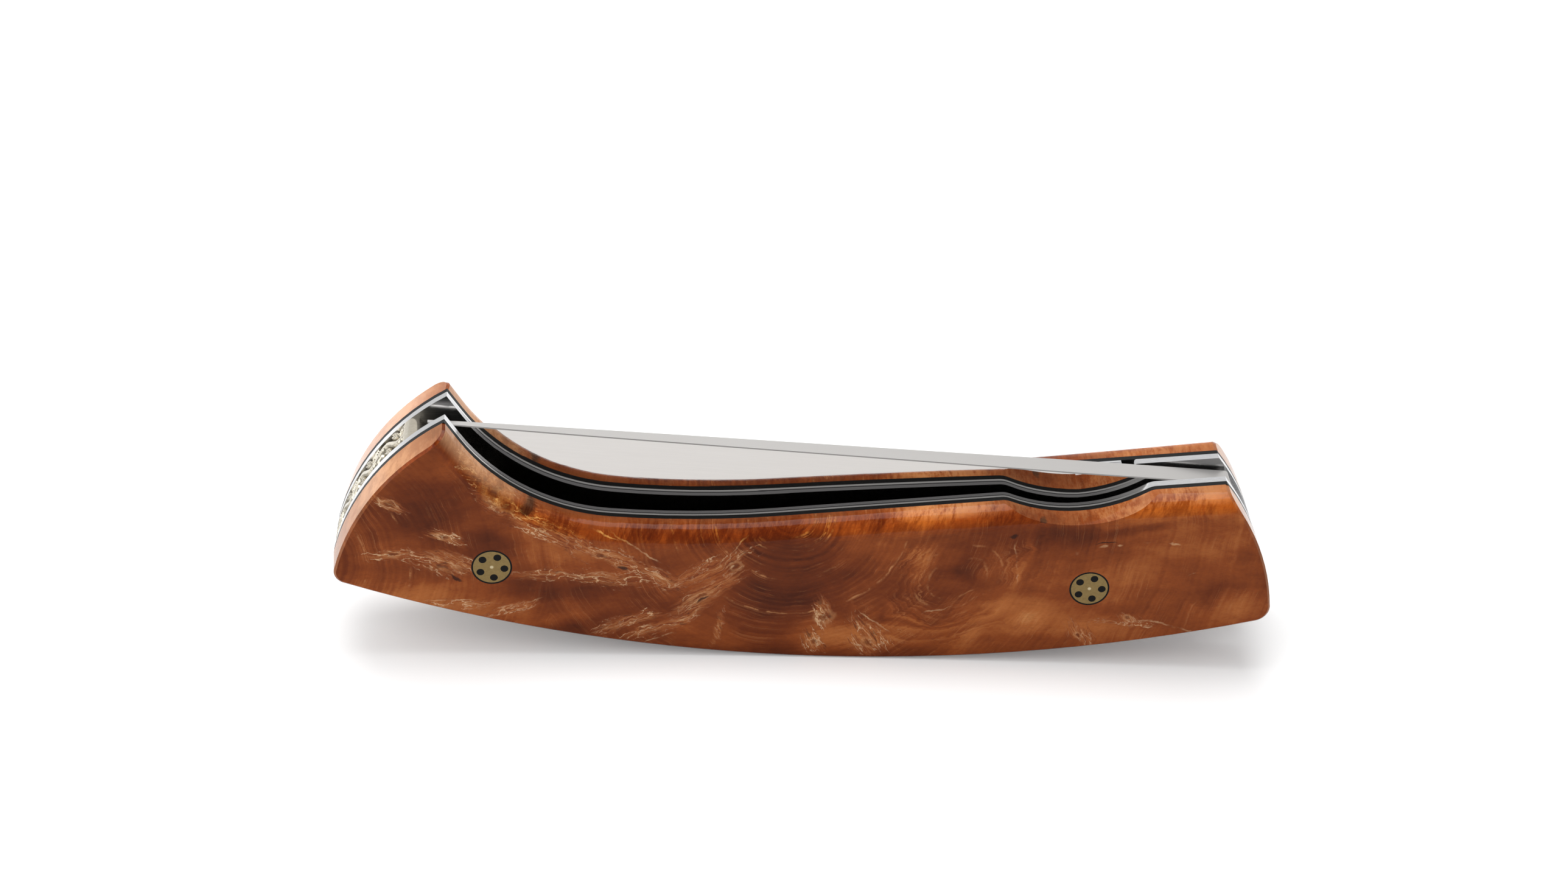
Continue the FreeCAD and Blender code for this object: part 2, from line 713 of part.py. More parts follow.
def file_vine(centreX, centreZ, radius, first, last):
    """Round notches shared out along an arc of the outer edge, by turns from the front and the rear side."""
    run = radius * math.radians(last - first) - vineMargin * 2
    pairs = math.ceil(run.value / vinePitch.value / 2)
    step = run / (pairs * 2)
    stepAngle = step / radius * math.degrees(1)
    start = as_size((first + last) / 2) - stepAngle * (pairs - 1)
    before = spacer.Shape.Volume
    sketch = spacer.newObject("Sketcher::SketchObject", "backspacer_notch")
    ground = [feature for feature in spacer.Origin.OriginFeatures if feature.Role == "XY_Plane"]
    sketch.AttachmentSupport = [(ground[0], "")]
    sketch.MapMode = "FlatFace"
    x = centreX + radius * sine(start)
    z = centreZ - radius * cosine(start)
    spot = "create(<<vector>>; %s; 0; %s)" % (x.text, z.text)
    turn = "create(<<rotation>>; create(<<vector>>; 0; 1; 0); %s)" % (-start).text
    sketch.setExpression("AttachmentOffset", "create(<<placement>>; %s; %s)" % (spot, turn))
    halfStep = step / 2
    draw(sketch, circles=[(-halfStep, -linerFace, vineRadius), (halfStep, linerFace, vineRadius)])
    notch = spacer.newObject("PartDesign::Pocket", "backspacer_notch")
    notch.Profile = sketch
    notch.setExpression("Length", vineDepth.text)
    notch.Reversed = True
    checked_cut(spacer, notch, before)
    axis = sketch_on(spacer, "XZ_Plane", as_size(0))
    axis.setExpression("AttachmentOffset.Base.x", centreX.text)
    axis.setExpression("AttachmentOffset.Base.y", centreZ.text)
    before = spacer.Shape.Volume
    vine = spacer.newObject("PartDesign::PolarPattern", "backspacer_vine")
    vine.Originals = [notch]
    vine.Axis = (axis, ["N_Axis"])
    vine.setExpression("Angle", (stepAngle * (2 * (pairs - 1))).text)
    vine.Occurrences = pairs
    spacer.Tip = vine
    checked_cut(spacer, vine, before)


backCentreZ = backRadius
cornerAngle = down_angle(*buttCorner, backLowX, backCentreZ)
foreAngle = down_angle(spacerForeX, back_z(spacerForeX), backLowX, backCentreZ)
file_vine(backLowX, backCentreZ, backRadius, cornerAngle, foreAngle)
endAngle = down_angle(spacerEndX, butt_z(spacerEndX), buttCentreX, buttCentreZ)
cornerAngle = down_angle(*buttCorner, buttCentreX, buttCentreZ)
file_vine(buttCentreX, buttCentreZ, buttRadius, endAngle, cornerAngle)

# Spacer screws
for label, side in (("spacer_screws_front", -1), ("spacer_screws_rear", 1)):
    low, high = (-fibreBack, -linerBack) if side < 0 else (linerBack, fibreBack)
    heads = pad(new_body(label), low, high, circles=[(*screw, screwHeadRadius) for screw in screws])
    tip = linerFace - screwReach
    low, high = (-linerBack, -tip) if side < 0 else (tip, linerBack)
    pad(heads, low, high, circles=[(*screw, screwRadius) for screw in screws])

# Pivot barrel, its screws, the washers and the stop pin
pad(
    new_body("pivot_barrel"),
    -linerBack,
    linerBack,
    circles=[(*pivot, barrelRadius), (*pivot, pivotScrewRadius)],
)
for name, side in (("front", -1), ("rear", 1)):
    headTop = linerBack + pivotHeadHeight
    low, high = (-headTop, -linerBack) if side < 0 else (linerBack, headTop)
    screw = pad(new_body("pivot_screw_" + name), low, high, circles=[(*pivot, pivotHeadRadius)])
    tip = linerBack - pivotScrewLength
    low, high = (-linerBack, -tip) if side < 0 else (tip, linerBack)
    pad(screw, low, high, circles=[(*pivot, pivotScrewRadius)])
    near = bladeFace + washerPlay
    far = near + washerThick
    low, high = (-far, -near) if side < 0 else (near, far)
    ring = [(*pivot, washerRadius), (*pivot, barrelRadius + barrelPlay)]
    pad(new_body(name + "_washer"), low, high, circles=ring)
pad(new_body("stop_pin"), -linerBack, linerBack, circles=[(*stop, stopRadius)])


# Mosaic pins: a brass rod round five resin rods, set in a ring of resin, worked flush with the scales
def dots_of(pin, turn):
    angles = [as_size(turn + 360 * step / dotCount) for step in range(dotCount)]
    return [(pin[0] + dotCircle * cosine(a), pin[1] + dotCircle * sine(a), dotRadius) for a in angles]


buttDots = dots_of(buttPin, -8)
foreDots = dots_of(forePin, 0)
buttRod = pad(new_body("butt_pin"), -scaleBlank, scaleBlank, circles=[(*buttPin, mosaicRadius)] + buttDots)
hollow_face(buttRod, -1)
hollow_face(buttRod, 1)
dots = pad(new_body("pin_resin_dots"), -scaleBlank, scaleBlank, circles=buttDots)
rings = new_body("pin_resin_rings")
for name, side in (("front", -1), ("rear", 1)):
    low, high = (-scaleBlank, -linerFace) if side < 0 else (linerFace, scaleBlank)
    foreRod = pad(new_body("fore_pin_" + name), low, high, circles=[(*forePin, mosaicRadius)] + foreDots)
    hollow_face(foreRod, side)
    pad(dots, low, high, circles=foreDots)
    low, high = (-scaleBlank, -fibreBack) if side < 0 else (fibreBack, scaleBlank)
    walls = (mosaicRadius + resinRing, mosaicRadius)
    pad(rings, low, high, circles=[(*pin, wall) for pin in (buttPin, forePin) for wall in walls])
for group in (dots, rings):
    hollow_face(group, -1)
    hollow_face(group, 1)

doc.recompute()
for item in doc.Objects:
    if "Invalid" in item.State or "Error" in item.State:
        raise RuntimeError("%s failed: %s" % (item.Label, item.State))
for part in subparts:
    if part.Shape.isNull() or not part.Shape.isValid():
        raise RuntimeError("%s has no valid shape" % part.Label)

os.makedirs("parts", exist_ok=True)
for part in subparts:
    part.Shape.exportStep("parts/%s.step" % part.Label)
    print("%-20s %d solids %9.2f mm3" % (part.Label, len(part.Shape.Solids), part.Shape.Volume))
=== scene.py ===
import bmesh
import bpy
import json
import math
from functools import partial
from mathutils import Matrix, Vector


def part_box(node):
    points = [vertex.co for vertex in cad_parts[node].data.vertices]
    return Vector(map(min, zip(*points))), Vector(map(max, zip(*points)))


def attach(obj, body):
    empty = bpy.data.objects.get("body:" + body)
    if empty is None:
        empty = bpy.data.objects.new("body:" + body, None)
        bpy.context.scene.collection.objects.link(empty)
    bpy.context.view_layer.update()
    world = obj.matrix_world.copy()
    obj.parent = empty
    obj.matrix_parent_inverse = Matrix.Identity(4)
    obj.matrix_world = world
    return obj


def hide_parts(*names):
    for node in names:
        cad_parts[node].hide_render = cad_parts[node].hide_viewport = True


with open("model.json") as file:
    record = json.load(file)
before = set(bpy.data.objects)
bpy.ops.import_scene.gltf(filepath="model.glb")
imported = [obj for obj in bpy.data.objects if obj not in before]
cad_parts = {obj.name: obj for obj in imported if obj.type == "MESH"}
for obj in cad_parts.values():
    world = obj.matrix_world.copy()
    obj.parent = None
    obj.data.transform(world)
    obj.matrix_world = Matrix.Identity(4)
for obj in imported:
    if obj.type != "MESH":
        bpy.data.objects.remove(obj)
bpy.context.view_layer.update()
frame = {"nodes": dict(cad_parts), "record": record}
nodes = frame["nodes"]
mm = 0.001
print("frame loaded:", len(nodes), "nodes")


def hexLinear(text):  # sRGB hex to linear colour
    channels = [int(text[i:i + 2], 16) / 255 for i in (0, 2, 4)]
    linear = [c / 12.92 if c <= 0.04045 else ((c + 0.055) / 1.055) ** 2.4 for c in channels]
    return (*linear, 1.0)


def addNode(tree, kind, sockets=(), stops=(), **settings):  # sockets by name, or in the order shown
    node = tree.nodes.new("ShaderNode" + kind)
    for name, value in settings.items():
        setattr(node, name, value)
    if isinstance(sockets, dict):
        filled = [(node.inputs[name], value) for name, value in sockets.items()]
    else:
        filled = zip([socket for socket in node.inputs if socket.enabled], sockets)
    for socket, value in filled:
        if isinstance(value, bpy.types.Node):  # a node stands for its first output
            value = next(output for output in value.outputs if output.enabled)
        if isinstance(value, bpy.types.NodeSocket):
            tree.links.new(value, socket)
        else:
            socket.default_value = hexLinear(value) if isinstance(value, str) else value
    for index, (position, colour) in enumerate(stops):  # of a colour ramp
        elements = node.color_ramp.elements
        element = elements[index] if index < len(elements) else elements.new(position)
        element.position = position
        element.color = hexLinear(colour)
    return node


# Settings that many nodes share
plus = {"operation": "ADD"}
minus = {"operation": "SUBTRACT"}
times = {"operation": "MULTIPLY"}
timesPlus = {"operation": "MULTIPLY_ADD"}
absolute = {"operation": "ABSOLUTE"}
softStep = {"interpolation_type": "SMOOTHSTEP"}
colours = {"data_type": "RGBA"}


def newMaterial(name):  # the material and the function that adds its nodes
    material = bpy.data.materials.new(name)
    material.use_nodes = True
    material.node_tree.nodes.clear()
    return material, partial(addNode, material.node_tree)


def finish(add, sockets):
    add("OutputMaterial", [add("BsdfPrincipled", sockets)])


def millimetres(add):
    return add("VectorMath", [add("TexCoord").outputs["Object"], 1 / mm], operation="SCALE")


def facing(add):  # which way the surface looks, along X, Y and Z
    return add("SeparateXYZ", [add("TexCoord").outputs["Normal"]])


def product(add, result, *factors):
    for factor in factors:
        result = add("Math", [result, factor], **times)
    return result


def streaks(add, place, angle, sizes, detail=3, rough=0.6):  # lumps of sizes mm, rising by angle towards +X
    turned = {"Vector": place, "Rotation": (0, -math.radians(angle), 0), "Scale": sizes}
    turned = add("Mapping", turned, vector_type="TEXTURE")
    return add("TexNoise", {"Vector": turned, "Scale": 1, "Detail": detail, "Roughness": rough})


def ringBands(add, reach, cloud, waver, width, rough=0.6):  # uneven bands that waver with the cloud
    reach = add("Math", [cloud, waver, reach], **timesPlus)
    band = {"W": reach, "Scale": 1 / width, "Detail": 3, "Roughness": rough}
    return add("TexNoise", band, noise_dimensions="1D")


def thinLine(add, field, level, width):  # 1 where the field passes the level
    apart = add("Math", [add("Math", [field, level], **minus)], **absolute)
    return add("MapRange", [apart, width, 0], **softStep)


def ovalDistance(add, place, oval):  # 0 in the middle of an oval and 1 on its rim
    x, z, half, across, angle = oval
    turn = math.radians(angle)
    offset = add("VectorMath", [place, (x, 0, z)], **minus)
    length = (math.cos(turn) / half, 0, math.sin(turn) / half)
    breadth = (-math.sin(turn) / across, 0, math.cos(turn) / across)
    along, over = (add("VectorMath", [offset, way], operation="DOT_PRODUCT") for way in (length, breadth))
    square = add("Math", [along, along, add("Math", [over, over], **times)], **timesPlus)
    return add("Math", [square], operation="SQRT")


def nearest(add, place, ovals):  # distance to the nearest of the ovals, melted together a little
    field = ovalDistance(add, place, ovals[0])
    for oval in ovals[1:]:
        field = add("Math", [field, ovalDistance(add, place, oval), 0.25], operation="SMOOTH_MIN")
    return field


# Stabilised burl under a polished clear finish: deep red brown with paler feathers where buds were cut,
# painted amber glow on the rounded shoulder. Here and below, roughness is (rise with the pattern, least)
burl = {
    "tones": [(0.25, "451A08"), (0.42, "652C0F"), (0.56, "83401A"), (0.72, "A66030"), (0.9, "C48852")],
    "feathers": [(0.38, "6A3016"), (0.46, "8E4C28"), (0.54, "AA6A3C"), (0.64, "D8AC80")],
    "ringLine": "C48A5A", "crack": "DDB88F", "speck": "4A2716", "thread": "D9B287", "halo": "C29467",
    # painted sheen: the last two colours are pale tans drawn on faces that look up and on the end faces
    "core": "4A2614", "knot": "2A130C", "pore": "3A1B10", "grainAndTopSheen": "D9A06A", "endGrainAndSheen": "CE9A70",
    # painted glow: these factors draw the rounded shoulder lighter and more orange
    "shoulderGlow": [(0.75, 0.5, 0.18, 1), (1.35, 1.1, 0.52, 1)],  # factors on the colour, not colours
    "rough": (0.06, 0.06), "specular": 0.1,
    # sizes in mm
    "drift": 9, "fray": 1.1, "cloud": (16, 9, 7), "breaks": 4.5, "wideRing": 2.4, "fineRing": 0.55,
    "swirlRing": 0.9, "swirlGap": 8, "chip": 1.6, "arcWidth": 0.22, "strand": (6, 1.6, 0.5),
    "hair": (2.6, 0.6, 0.16), "curl": (2.6, 0.9, 0.8), "fibre": 0.8, "pores": (0.5, 0.22, 0.14),
    "shoulderGrain": (2.4, 2.4, 0.5), "shoulderPatch": 6, "sway": 3.4, "gentleSway": 1.8, "fraySway": 0.7,
    # how far each shifts the tone
    "clouds": (0.7, 0.15), "paler": 0.16, "darker": 0.15, "wideSwing": 0.4, "fineSwing": 0.26,
    "swirlSwing": 0.4,
    # how strongly each shows
    "shown": {
        "ringLine": 0.45, "crest": 0.4, "ringArcs": 0.6, "swirlArcs": 0.3, "crack": (0.6, 0.15),
        "speck": 0.6, "thread": 0.45, "halo": 0.2, "core": 0.5, "knot": 0.85, "pore": 0.2,
        "grainAndTopSheen": (0.35, 0.05), "endGrainAndSheen": (0.3, 0.75)},
}
# The figure of each scale's face: ovals are (x, z, half length, half width, angle), arcs are radii, in mm
frontFigure = {
    "feathers": [
        {"angle": -24, "strength": 0.68, "ovals": [
            (-53, 23.2, 1.8, 0.9, -22), (-46.4, 18.6, 2.8, 1.0, -16), (-46.0, 14.6, 4.4, 1.7, -10),
            (-39.4, 24.6, 3.4, 1.9, -48), (-42.6, 28.4, 2.4, 1.2, -62), (-35.2, 20.6, 3.2, 1.6, -35),
            (-30.4, 18.4, 4.0, 1.4, -27), (-24.6, 15.6, 4.4, 1.15, -27), (-18.8, 12.7, 3.4, 1.0, -27)]},
        {"angle": -3, "strength": 0.42, "ovals": [
            (-53, 15.6, 3.6, 0.8, 2), (-34, 13.0, 4.6, 0.8, 0), (-26, 12.4, 5.4, 1.3, -6),
            (-44, 8.2, 5.5, 0.8, 3), (41.5, 6.6, 4, 0.5, -8)]},
        {"angle": 30, "strength": 0.62, "ovals": [
            (-12.4, 13.9, 5.4, 1.1, 24), (-12.9, 10.2, 5.6, 1.5, 38), (-15.4, 6.4, 4.6, 0.9, 42),
            (-22.6, 5.0, 4.6, 1.0, 22), (-19.6, 3.9, 3.8, 0.8, 26), (-37.4, 7.6, 3.0, 0.9, 22)]},
        {"angle": -58, "strength": 0.6, "ovals": [
            (2.6, 7.2, 2.6, 1.0, -72), (1.6, 2.6, 1.9, 1.3, -60), (9.0, 4.6, 3.8, 1.2, -40),
            (8.6, 2.0, 2, 1.3, -40), (-11.4, 4.2, 2.6, 0.6, 75), (36.2, 4.9, 2.4, 1.0, -45),
            (42.4, 7.4, 1.6, 0.8, -30)]},
    ],
    "threads": [
        (-21.2, 16.6, 4.2, 0.13, -34), (-16.0, 13.4, 2.6, 0.12, -36), (-26.6, 19.3, 2.4, 0.12, -22),
        (-40.4, 27, 2.0, 0.14, -50), (-9.6, 14.6, 2.4, 0.14, 34), (-8.4, 17.6, 2.2, 0.12, 52),
        (-14.6, 8.2, 4.2, 0.12, 42), (-24.4, 4.2, 3.2, 0.13, 24), (-18, 2.6, 2.4, 0.12, 28),
        (-36.8, 8.4, 2.8, 0.14, 20), (-45.2, 9.0, 4.0, 0.12, 2), (34.2, 18.0, 0.6, 0.24, 4),
        (38.0, 18.6, 0.7, 0.2, 4), (40.3, 18.7, 0.4, 0.2, 6), (43.4, 18.9, 0.7, 0.18, 8),
        (47.0, 18.8, 0.6, 0.16, -3),
        (26.8, 16.0, 3.0, 0.13, -84), (45.6, 6.6, 2.6, 0.16, -8), (49.2, 6.0, 1.6, 0.14, -2),
        (50.6, 15.4, 1.8, 0.12, 28), (17.0, 8.4, 2.2, 0.12, 22), (9.8, 6.2, 2.8, 0.13, -38),
        (3.6, 8.8, 1.8, 0.14, -66), (-28.8, 12.9, 3.6, 0.12, -8)],
    "eyes": [
        (-53, 23.2, 0.7, 0.4, -22), (-46.2, 18.6, 0.9, 0.4, -16), (-52.6, 15.6, 0.8, 0.3, 0),
        (-39.8, 24.4, 0.9, 0.6, -45), (-38.2, 22.8, 0.7, 0.4, -40), (-26.4, 16.4, 0.6, 0.4, -25),
        (-9.2, 14.0, 0.6, 0.45, 24), (-13.4, 9.8, 1.0, 0.3, 38), (2.8, 6.6, 0.8, 0.7, 0),
        (2.0, 2.4, 0.5, 0.4, 0), (9.0, 2.6, 0.7, 0.5, -40), (42.2, 7.6, 0.5, 0.3, -30),
        (36.0, 4.8, 0.5, 0.3, -45)],
    "knots": [
        (-35.6, 22.2, 1.0, 0.7, 0), (-45, 12.4, 1.2, 0.18, -35), (-23.6, 14.2, 0.8, 0.25, -25),
        (-13.2, 9.2, 0.9, 0.22, 38), (26, 20.3, 0.6, 0.25, 0), (29.6, 21.6, 0.7, 0.2, 0),
        (38.4, 19.2, 1.6, 0.12, 2)],
    "rings": [(-2.4, 22.4, 1, 1, 0), (-66, 14, 1, 1, 0)],
    "swirl": (19.6, 13.6, 1.3, 0.9, 35),
    "ringArcs": (3.7, 5.3, 6.0, 10.0, 15.4),
    "swirlArcs": (3.0, 4.6),
    # the pale oval at (32.5, 23.4) is a painted highlight on the scallop's rim, the rest is the wood's own
    # paler figure
    "pale": [
        (17, 22.6, 6.5, 2.2, 10), (47, 22, 11, 6, 5), (30, 7.4, 9, 3, -10), (15.0, 15.2, 1.7, 3.6, -12),
        (6, 3, 8, 3, 0), (-47, 9, 10, 3.5, -5), (40, 14, 8.5, 4, 0), (57, 10.4, 4, 4, 0),
        (32.5, 23.4, 6, 1.1, 0)],
    # among the dark ovals, (33.0, 20.1) and (42.0, 21.4) are painted shade under the scallop's rim, (-22,
    # 20.6) is painted shade under the shoulder and (2, 0) is painted shade along the bottom edge; the rest
    # is the wood's own darker figure
    "dark": [
        (-30, 11, 9, 2.2, -4), (-3, 12, 7, 7, 0), (20.4, 14.8, 2.0, 1.7, 0),
        (33.0, 20.1, 6.0, 1.2, 3), (42.0, 21.4, 5.0, 0.9, 12), (-49, 22, 5, 6, 30), (-22, 20.6, 11, 2.6, -8),
        (-28, 4, 5, 2, 10), (-40, 18, 4, 2, -20), (2, 0, 18, 2.4, 0)],
}
rearFigure = {
    "feathers": [
        {"angle": 18, "strength": 0.65, "ovals": [
            (30, 12, 6, 1.8, 15), (38, 16, 4, 1.4, 30), (22, 7, 5, 1.2, 10), (-8, 9, 5, 1.6, 20)]},
        {"angle": -35, "strength": 0.65, "ovals": [
            (-20, 13, 6, 1.7, -30), (-30, 19, 4, 1.5, -45), (-44, 12, 4, 1.4, -20), (6, 5, 4, 1.3, -35)]},
    ],
    "threads": [
        (28, 13.6, 4, 0.14, 20), (-17, 12.4, 3, 0.13, -32), (-42, 13, 3, 0.13, -18),
        (8, 5.6, 2.4, 0.13, -30)],
    "eyes": [
        (30, 12, 0.9, 0.5, 15), (-20, 13, 0.9, 0.5, -30), (-44, 12, 0.7, 0.4, -20), (6, 5, 0.7, 0.5, 0)],
    "knots": [(-28, 17.5, 1.0, 0.5, -40), (39, 16.5, 1.2, 0.3, 30)],
    "rings": [(12, 21, 1, 1, 0), (-36, 26, 1, 1.3, -20), (66, 12, 1, 1, 0)],
    "swirl": (-14, 8, 1.3, 0.9, -20),
    "ringArcs": (4.2, 6.5, 7.2, 11.0),
    "swirlArcs": (3.4, 5.2),
    "pale": [(47, 20, 9, 7, 0), (-50, 20, 9, 9, 0), (-2, 14, 8, 4, 10)],
    "dark": [(14, 14, 8, 6, 0), (-30, 9, 9, 3, -10)],
}


def burlWood(name, figure):
    material, add = newMaterial(name)
    shown = burl["shown"]
    place = millimetres(add)
    middle = (0.5, 0.5, 0.5)
    drift = add("TexNoise", {"Vector": place, "Scale": 1 / burl["drift"], "Detail": 2}).outputs["Color"]
    drift = add("VectorMath", [drift, middle], **minus)
    fray = add("TexNoise", {"Vector": place, "Scale": 1 / burl["fray"], "Detail": 3, "Roughness": 0.6})
    fray = add("VectorMath", [fray.outputs["Color"], middle], **minus)
    gentle = add("VectorMath", [drift, [burl["gentleSway"]] * 3, place], **timesPlus)
    swayed = add("VectorMath", [drift, [burl["sway"]] * 3, place], **timesPlus)
    bent = add("VectorMath", [fray, [burl["fraySway"]] * 3, swayed], **timesPlus)

    cloud = streaks(add, bent, 4, burl["cloud"], 5)  # the broad light and dark of the wood
    pale = add("MapRange", [nearest(add, bent, figure["pale"]), 1.5, 0.2], **softStep)
    dark = add("MapRange", [nearest(add, bent, figure["dark"]), 1.5, 0.2], **softStep)
    tone = add("Math", [cloud, *burl["clouds"]], **timesPlus)
    tone = add("Math", [pale, burl["paler"], tone], **timesPlus)
    tone = add("Math", [dark, -burl["darker"], tone], **timesPlus)

    patches = add("TexNoise", {"Vector": place, "Scale": 1 / burl["breaks"], "Detail": 4, "Roughness": 0.62})
    breaks = add("MapRange", [patches, 0.42, 0.62], **softStep)
    reach = nearest(add, gentle, figure["rings"])  # growth rings, wide and fine
    near = add("MapRange", [reach, 17, 9, 0.4, 1], **softStep)
    wide = ringBands(add, reach, cloud, 3, burl["wideRing"])
    fine = ringBands(add, reach, cloud, 2, burl["fineRing"])
    evenOut = -(burl["wideSwing"] + burl["fineSwing"]) / 2  # so that the rings keep the mean tone
    swing = add("Math", [wide, burl["wideSwing"], evenOut], **timesPlus)
    swing = add("Math", [fine, burl["fineSwing"], swing], **timesPlus)
    swing = product(add, swing, near, add("Math", [breaks, 0.7, 0.5], **timesPlus))
    tone = add("Math", [tone, swing], **plus)

    around = ovalDistance(add, swayed, figure["swirl"])  # a broken swirl apart from the rings
    ripple = ringBands(add, around, cloud, 9, burl["swirlRing"], 0.65)
    gaps = add("TexNoise", {"Vector": place, "Scale": 1 / burl["swirlGap"], "Detail": 2})
    inner, outer = (add("MapRange", [around, *ends], **softStep) for ends in ((1.5, 6), (15, 6)))
    lap = product(add, inner, outer, add("MapRange", [gaps, 0.4, 0.62], **softStep))
    rise = product(add, add("Math", [ripple, 0.5], **minus), lap)
    tone = add("Math", [rise, burl["swirlSwing"], tone], **timesPlus)

    colour = add("ValToRGB", [tone], stops=burl["tones"])
    line = product(add, thinLine(add, fine, 0.56, 0.025), breaks, breaks, near, shown["ringLine"])
    colour = add("Mix", [line, colour, burl["ringLine"]], **colours)
    crest = product(add, thinLine(add, ripple, 0.55, 0.03), lap, breaks, shown["crest"])
    colour = add("Mix", [crest, colour, burl["ringLine"]], **colours)
    chip = add("TexNoise", {"Vector": place, "Scale": 1 / burl["chip"], "Detail": 3, "Roughness": 0.6})
    flaw = product(add, add("MapRange", [chip, 0.42, 0.6], **softStep), breaks)
    for distance, key in ((reach, "ringArcs"), (around, "swirlArcs")):  # pale and broken
        wavy = add("Math", [chip, 0.6, distance], **timesPlus)
        for radius in figure[key]:
            arc = product(add, thinLine(add, wavy, radius + 0.3, burl["arcWidth"]), flaw, shown[key])
            colour = add("Mix", [arc, colour, burl["ringLine"]], **colours)

    for feather in figure["feathers"]:  # ragged streaks with pale cracks and dark specks
        strand = streaks(add, bent, feather["angle"], burl["strand"])
        hair = streaks(add, bent, feather["angle"], burl["hair"], 2)
        stray = add("Math", [hair, 1.6, add("Math", [strand, 2.6, -2.1], **timesPlus)], **timesPlus)
        edge = add("Math", [nearest(add, bent, feather["ovals"]), stray], **plus)
        body = add("MapRange", [edge, 1.2, 0.65], **softStep)
        tan = add("ValToRGB", [add("Mix", [0.5, hair, strand])], stops=burl["feathers"])
        colour = add("Mix", [product(add, body, feather["strength"]), colour, tan], **colours)
        curl = streaks(add, bent, feather["angle"], burl["curl"], 3, 0.5)
        gape = add("Math", [breaks, *shown["crack"]], **timesPlus)
        crack = product(add, thinLine(add, curl, 0.5, 0.035), body, gape)
        colour = add("Mix", [crack, colour, burl["crack"]], **colours)
        speck = product(add, add("MapRange", [curl, 0.37, 0.31, 0, shown["speck"]], **softStep), body)
        colour = add("Mix", [speck, colour, burl["speck"]], **colours)

    thread = nearest(add, bent, figure["threads"])
    thread = add("MapRange", [thread, 1.3, 0.5, 0, shown["thread"]], **softStep)
    colour = add("Mix", [product(add, thread, breaks), colour, burl["thread"]], **colours)
    fibre = add("TexNoise", {"Vector": place, "Scale": 1 / burl["fibre"], "Detail": 3, "Roughness": 0.6})
    ragged = add("Math", [fibre, 1.4, -0.7], **timesPlus)
    for eye in figure["eyes"]:  # a dark core in a pale halo
        rim = add("Math", [ragged, ovalDistance(add, bent, eye)], **plus)
        inside, outside = (add("MapRange", [rim, *ends], **softStep) for ends in ((0.7, 1.2), (2.0, 1.3)))
        colour = add("Mix", [product(add, inside, outside, shown["halo"]), colour, burl["halo"]], **colours)
        core = add("MapRange", [rim, 1.1, 0.3, 0, shown["core"]], **softStep)
        colour = add("Mix", [core, colour, burl["core"]], **colours)
    knot = nearest(add, bent, figure["knots"])
    knot = add("MapRange", [knot, 1.2, 0.5, 0, shown["knot"]], **softStep)
    colour = add("Mix", [knot, colour, burl["knot"]], **colours)
    pores = streaks(add, place, 8, burl["pores"], 2)
    pores = add("MapRange", [pores, 0.45, 0.75, 0, shown["pore"]], **softStep)
    colour = add("Mix", [pores, colour, burl["pore"]], **colours)

    way = facing(add)  # painted glow on the rounded shoulder, and painted sheen on faces that look up and on the end faces
    grain = streaks(add, place, 64, burl["shoulderGrain"], 4, 0.7)
    patch = add("TexNoise", {"Vector": place, "Scale": 1 / burl["shoulderPatch"], "Detail": 3})
    grain = add("MapRange", [add("Math", [grain, patch], **plus), 0.85, 1.15], **softStep)
    slope = product(add, add("Math", [way.outputs["Y"]], **absolute), way.outputs["Z"])
    shoulder = add("MapRange", [slope, 0, 0.5], **softStep)
    # painted glow: the shoulder colour is multiplied lighter and more orange where the surface turns up
    shoulderGlow = add("Mix", [grain, *burl["shoulderGlow"]], **colours)
    colour = add("Mix", [shoulder, colour, shoulderGlow], blend_type="MULTIPLY", **colours)
    # painted sheen: faces that look up are drawn paler, streaked with grain
    top = add("MapRange", [way.outputs["Z"], 0.6, 0.95], **softStep)
    top = product(add, top, grain, add("Math", [pale, *shown["grainAndTopSheen"]], **timesPlus))
    colour = add("Mix", [top, colour, burl["grainAndTopSheen"]], **colours)
    # painted sheen on the end faces, and painted light that makes them paler where they turn up
    ends = add("MapRange", [add("Math", [way.outputs["X"]], **absolute), 0.4, 0.8], **softStep)
    paintedTopLight = add("MapRange", [way.outputs["Z"], 0.2, 0.7, *shown["endGrainAndSheen"]], **softStep)
    ends = product(add, ends, paintedTopLight, add("Math", [grain, 0.4, 0.8], **timesPlus))
    colour = add("Mix", [ends, colour, burl["endGrainAndSheen"]], **colours)
    rough = add("Math", [cloud, *burl["rough"]], **timesPlus)
    finish(add, {"Base Color": colour, "Roughness": rough, "Specular IOR Level": burl["specular"]})
    return material


# Mirror-polished stainless steel: the flats show what stands round them, the spine keeps a greyer satin
# grind. Here and below, ground lines are drawn coarser than the real ones, so that they show
bladeLook = {
    "flat": ("C6C3C0", "D0CDCA"), "spine": "AAA8A6", "spineShown": 0.6, "lines": (25, 0.1, 0.1), "smear": 7,
    "rough": (0.03, 0.02), "satinRough": 0.32,
}


